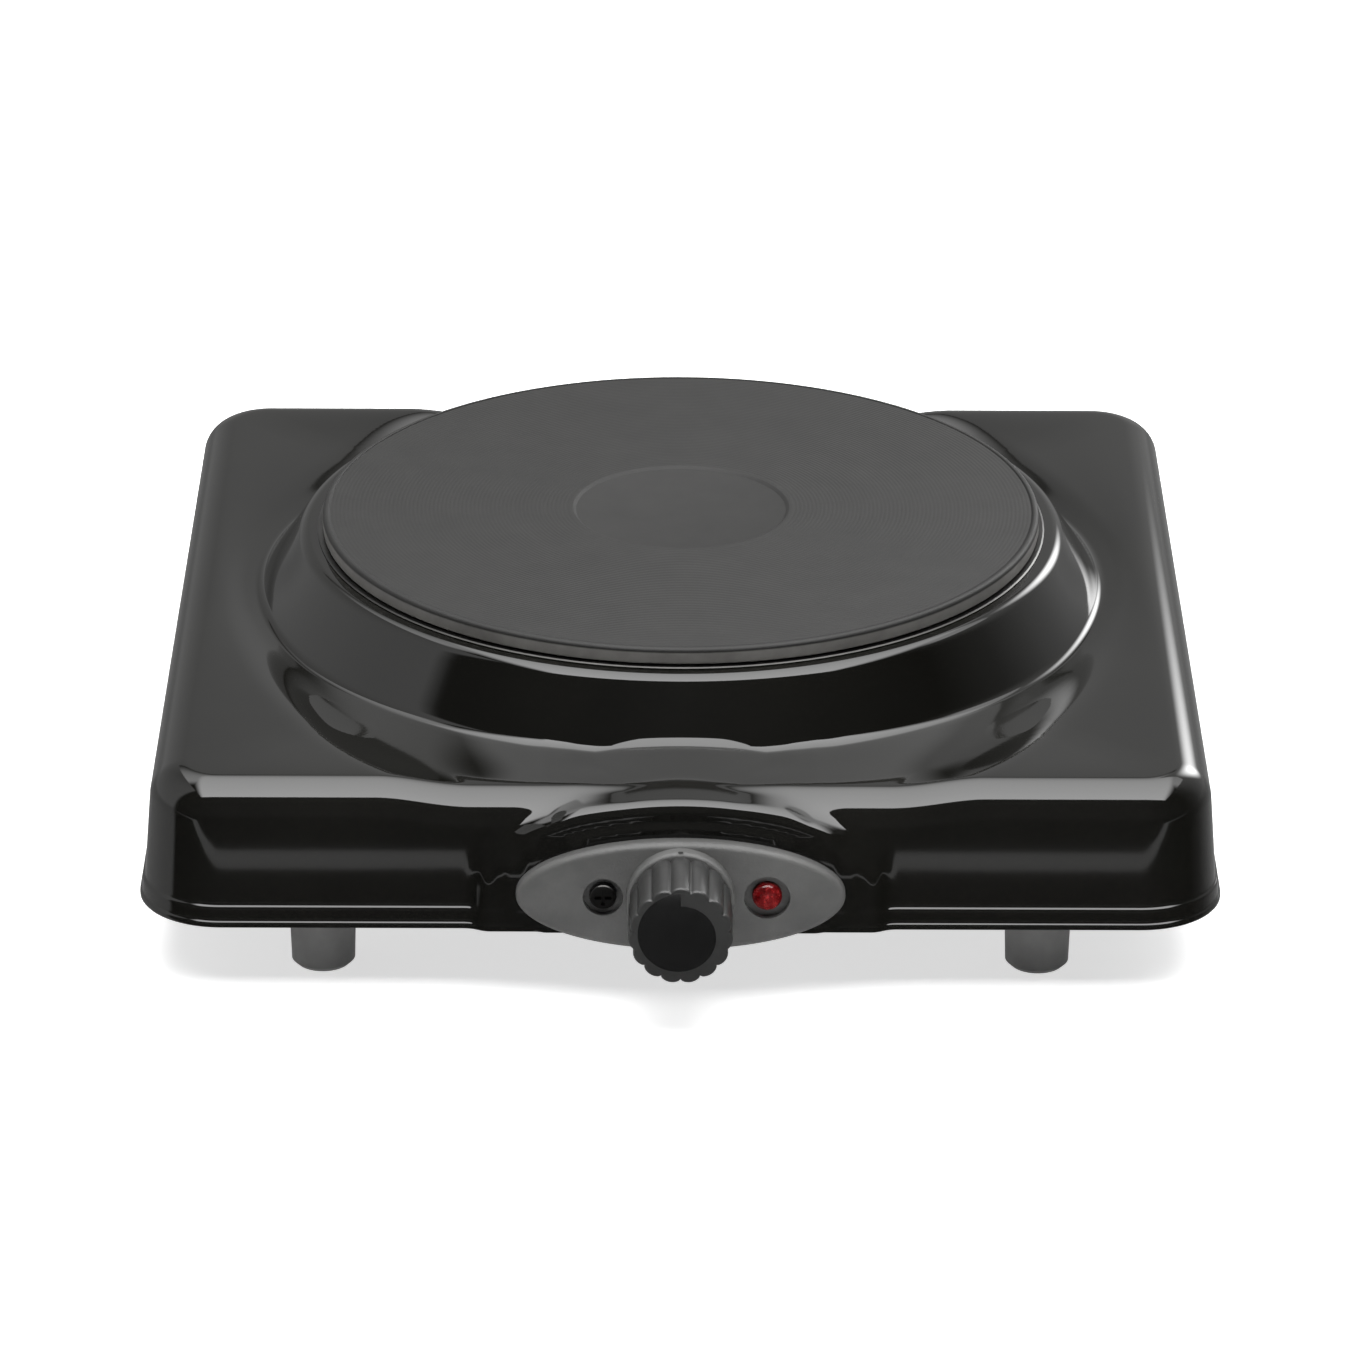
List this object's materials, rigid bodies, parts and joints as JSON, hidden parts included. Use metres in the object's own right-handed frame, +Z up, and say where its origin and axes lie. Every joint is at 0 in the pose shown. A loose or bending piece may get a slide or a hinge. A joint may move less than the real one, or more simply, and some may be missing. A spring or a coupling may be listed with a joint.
{
  "type": "hot plate burner",
  "caption": "Free-standing electric hot plate: round cast-iron cooking plate in an enamelled steel housing, with a thermostat knob and pilot lamp on the front.",
  "frame": {"origin": "middle of the object's bounding box, on the table surface under the feet", "axes": "+Z up; -Y is the front with the control knob; the plate's axis is vertical at Y = +21.5 mm"},
  "size_m": [0.266, 0.293, 0.071],
  "materials": {
    "black_enamel": "high-gloss black vitreous enamel on pressed steel",
    "coated_iron": "fine-turned cast iron with a matt dark grey heat-proof coating",
    "blued_steel": "thin rolled steel, blackened",
    "textured_plastic": "black moulded plastic with a fine spark-eroded texture",
    "knob_plastic": "black moulded phenolic, satin",
    "dial_gloss": "gloss black inlay",
    "foot_plastic": "dark grey moulded plastic",
    "red_lens": "transparent red",
    "zinc_steel": "galvanised sheet, unpainted",
    "plated_fasteners": "zinc plated",
    "bare_steel": "plain steel",
    "aluminised_sheet": "bright aluminised sheet",
    "resistance_wire": "oxidised nickel chrome",
    "packed_powder": "packed magnesium oxide",
    "steatite": "unglazed steatite",
    "brass_turned": "turned brass",
    "spring_bronze": "rolled phosphor bronze",
    "contact_silver": "silver rivet heads",
    "bimetal": "rolled bimetal",
    "tinned_brass": "tin plated brass",
    "lamp_plastic": "white heat-proof plastic",
    "lamp_glass": "clear neon bulb",
    "resistor_body": "lacquered beige",
    "nylon": "natural nylon",
    "gland_rubber": "black moulded rubber",
    "brown_sleeve": "brown silicone insulation",
    "blue_sleeve": "blue silicone insulation",
    "white_sleeve": "white glass-fibre sleeving",
    "green_sleeve": "green insulation"
  },
  "bodies": {
    "chassis": {"housing": "black_enamel", "hot_plate": "coated_iron", "bezel_screw": "blued_steel", "spill_ring": "blued_steel", "bezel": "textured_plastic", "foot_front_left": "foot_plastic", "foot_front_right": "foot_plastic", "foot_rear_left": "foot_plastic", "foot_rear_right": "foot_plastic", "lamp_lens": "red_lens", "base_cover": "zinc_steel", "foot_brackets": "zinc_steel", "foot_screws": "plated_fasteners", "bush_nut": "plated_fasteners", "stack_screws": "plated_fasteners", "earth_screw": "plated_fasteners", "earth_nut": "plated_fasteners", "cover_nut": "plated_fasteners", "clamp_nut": "plated_fasteners", "shield_nut": "plated_fasteners", "clamp_washer": "plated_fasteners", "plate_stud": "plated_fasteners", "terminal_screws": "plated_fasteners", "clamp_bridge": "bare_steel", "plate_underside_cover": "bare_steel", "thermostat_bracket": "bare_steel", "terminal_pins": "bare_steel", "heat_shield": "aluminised_sheet", "heating_coil": "resistance_wire", "insulation_fill": "packed_powder", "plate_terminal_block": "steatite", "ceramic_spacers": "steatite", "thermostat_bush": "brass_turned", "terminal_inserts": "brass_turned", "contact_blades": "spring_bronze", "contact_rivets": "contact_silver", "bimetal_strip": "bimetal", "push_on_terminals": "tinned_brass", "earth_tag": "tinned_brass", "lamp_holder": "lamp_plastic", "neon_lamp": "lamp_glass", "dropper_resistor": "resistor_body", "terminal_block": "nylon", "cord_gland": "gland_rubber", "live_wire": "brown_sleeve", "neutral_wire": "blue_sleeve", "switched_wire": "white_sleeve", "lamp_leads": "white_sleeve", "earth_wire": "green_sleeve"},
    "control_knob": {"knob": "knob_plastic", "knob_dial_insert": "dial_gloss", "knob_spring_clip": "bare_steel", "thermostat_spindle": "bare_steel"},
    "thermostat_plunger": {"adjusting_screw": "bare_steel", "ceramic_tip": "steatite"}
  },
  "joints": [
    {"name": "knob_turn", "type": "hinge", "parent": "chassis", "child": "control_knob", "pos_m": [0, -0.1285, 0.0288], "axis": [0, 1, 0], "range_deg": [0, 290]},
    {"name": "plunger_travel", "type": "slide", "parent": "chassis", "child": "thermostat_plunger", "axis": [0, -1, 0], "range_m": [0, 0.0009]}
  ],
  "couplings": [
    {"joint": "plunger_travel", "follows": "knob_turn", "m_per_rad": 0.000158}
  ]
}
